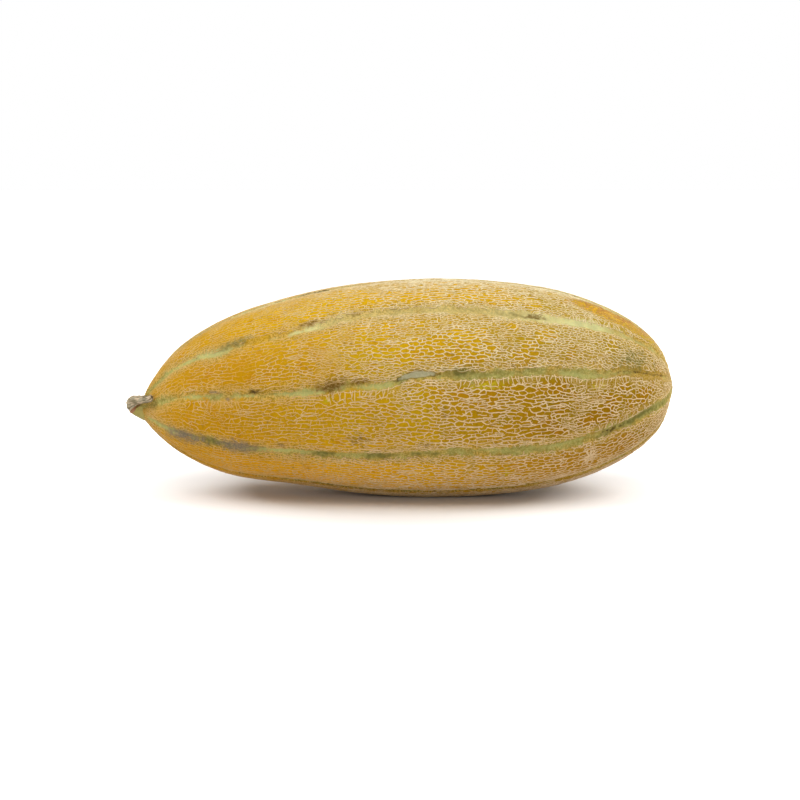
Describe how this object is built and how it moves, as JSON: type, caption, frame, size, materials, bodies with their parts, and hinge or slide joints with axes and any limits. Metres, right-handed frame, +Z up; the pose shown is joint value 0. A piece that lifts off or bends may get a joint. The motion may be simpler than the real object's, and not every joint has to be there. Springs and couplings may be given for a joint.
{
  "type": "long netted melon",
  "caption": "Whole long netted melon with shallow seams and the dried stub of its stem, lying on its side.",
  "frame": {"origin": "on the surface the melon lies on, under the middle of the whole part's box", "axes": "+X along the fruit from the stem end to the blossom end, +Z up, the side that shows first is -Y"},
  "size_m": [0.3096, 0.124, 0.1226],
  "materials": {
    "rind": "orange-yellow rind under raised pale cork netting, with green seams, satin",
    "dry_stem": "green neck, and a dry grey-brown wrinkled stub, matt"
  },
  "bodies": {
    "root": {"fruit": "rind", "stem": "dry_stem"}
  },
  "joints": []
}
